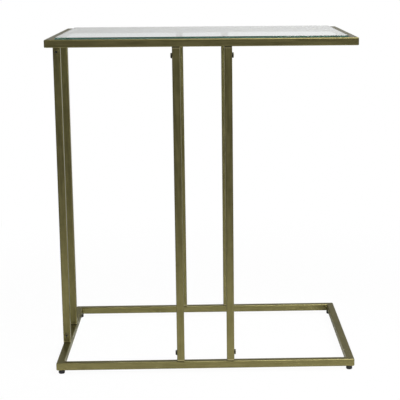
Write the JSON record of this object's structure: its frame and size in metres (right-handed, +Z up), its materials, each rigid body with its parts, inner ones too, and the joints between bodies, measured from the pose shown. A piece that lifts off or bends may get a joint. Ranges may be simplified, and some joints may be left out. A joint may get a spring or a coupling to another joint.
{
  "type": "side table",
  "caption": "Narrow side table of slim square tube with an inset clear glass top, a rectangular base frame on small screw feet, and uprights that leave one end open.",
  "frame": {"origin": "on the floor under the middle of the table's outline", "axes": "+X along the table's length towards its open end, +Y from the front to the back, +Z up"},
  "size_m": [0.6, 0.41, 0.6695],
  "materials": {
    "frame_paint": "satin metallic paint in an olive antique-brass tone",
    "bolt_bronze": "dark bronze plating, satin",
    "clear_glass": "clear tempered glass with polished edges, green at the edge",
    "clear_bumper": "clear soft plastic, glossy",
    "foot_plastic": "black moulded plastic, fine matte grain",
    "zinc_steel": "zinc-plated steel"
  },
  "bodies": {
    "frame": {"top_front_rail": "frame_paint", "base_front_tube": "frame_paint", "top_rear_rail": "frame_paint", "base_rear_tube": "frame_paint", "top_left_rail": "frame_paint", "base_left_tube": "frame_paint", "top_right_rail": "frame_paint", "base_right_tube": "frame_paint", "left_front_upright": "frame_paint", "left_front_upper_stub": "frame_paint", "left_front_lower_stub": "frame_paint", "left_rear_upright": "frame_paint", "left_rear_upper_stub": "frame_paint", "left_rear_lower_stub": "frame_paint", "middle_front_left_upright": "frame_paint", "middle_front_left_upper_stub": "frame_paint", "middle_front_left_lower_stub": "frame_paint", "middle_front_right_upright": "frame_paint", "middle_front_right_upper_stub": "frame_paint", "middle_front_right_lower_stub": "frame_paint", "middle_rear_left_upright": "frame_paint", "middle_rear_left_upper_stub": "frame_paint", "middle_rear_left_lower_stub": "frame_paint", "middle_rear_right_upright": "frame_paint", "middle_rear_right_upper_stub": "frame_paint", "middle_rear_right_lower_stub": "frame_paint", "front_left_glass_tab": "frame_paint", "front_right_glass_tab": "frame_paint", "rear_left_glass_tab": "frame_paint", "rear_right_glass_tab": "frame_paint", "left_front_glass_tab": "frame_paint", "left_rear_glass_tab": "frame_paint", "right_front_glass_tab": "frame_paint", "right_rear_glass_tab": "frame_paint", "upper_bolts": "bolt_bronze", "lower_bolts": "bolt_bronze", "glass_bumpers": "clear_bumper", "foot_bushes": "zinc_steel"},
    "glass_pane": {"glass_top": "clear_glass"},
    "front_left_foot": {"front_left_foot_pad": "foot_plastic", "front_left_foot_stud": "zinc_steel"},
    "front_right_foot": {"front_right_foot_pad": "foot_plastic", "front_right_foot_stud": "zinc_steel"},
    "rear_left_foot": {"rear_left_foot_pad": "foot_plastic", "rear_left_foot_stud": "zinc_steel"},
    "rear_right_foot": {"rear_right_foot_pad": "foot_plastic", "rear_right_foot_stud": "zinc_steel"}
  },
  "joints": [
    {"name": "glass_lift", "type": "slide", "parent": "frame", "child": "glass_pane", "axis": [0, 0, 1], "range_m": [0, 0.1]},
    {"name": "front_left_foot_screw", "type": "slide", "parent": "frame", "child": "front_left_foot", "axis": [0, 0, -1], "range_m": [0, 0.006]},
    {"name": "front_right_foot_screw", "type": "slide", "parent": "frame", "child": "front_right_foot", "axis": [0, 0, -1], "range_m": [0, 0.006]},
    {"name": "rear_left_foot_screw", "type": "slide", "parent": "frame", "child": "rear_left_foot", "axis": [0, 0, -1], "range_m": [0, 0.006]},
    {"name": "rear_right_foot_screw", "type": "slide", "parent": "frame", "child": "rear_right_foot", "axis": [0, 0, -1], "range_m": [0, 0.006]}
  ]
}
